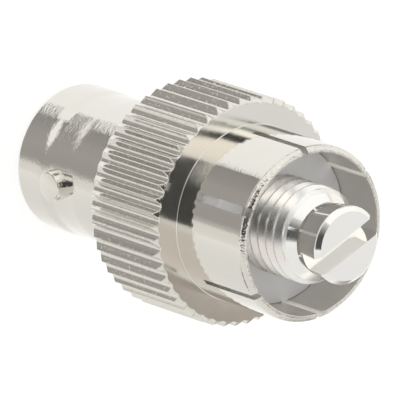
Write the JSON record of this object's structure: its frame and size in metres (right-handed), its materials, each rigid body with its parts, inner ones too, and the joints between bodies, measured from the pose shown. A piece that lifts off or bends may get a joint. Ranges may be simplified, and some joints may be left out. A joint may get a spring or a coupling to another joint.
{
  "type": "bnc adapter",
  "caption": "Straight coaxial adapter with a bayonet jack at one end, a fluted grip, and a slotted spring crown round a threaded centre post at the other end.",
  "frame": {"origin": "centre of the bayonet jack's rim, on the plane the part stands on", "axes": "+Z along the part's axis from the jack's rim to the tip of the centre post, +X through one bayonet lug"},
  "size_m": [0.015, 0.015, 0.028],
  "materials": {
    "nickel": "polished nickel plate over brass",
    "grip_nickel": "polished nickel plate over fluted brass, turned on its ends",
    "crown_nickel": "polished nickel plate over spring brass",
    "white_ptfe": "turned white plastic",
    "grey_ptfe": "turned greyish white plastic",
    "contact_silver": "silver plate over brass",
    "post_silver": "bright silver plate over brass"
  },
  "bodies": {
    "root": {"barrel": "nickel", "grip": "grip_nickel", "crown_contact": "crown_nickel", "rear_bead": "white_ptfe", "front_bead": "grey_ptfe", "socket_contact": "contact_silver", "centre_post": "post_silver"}
  },
  "joints": []
}
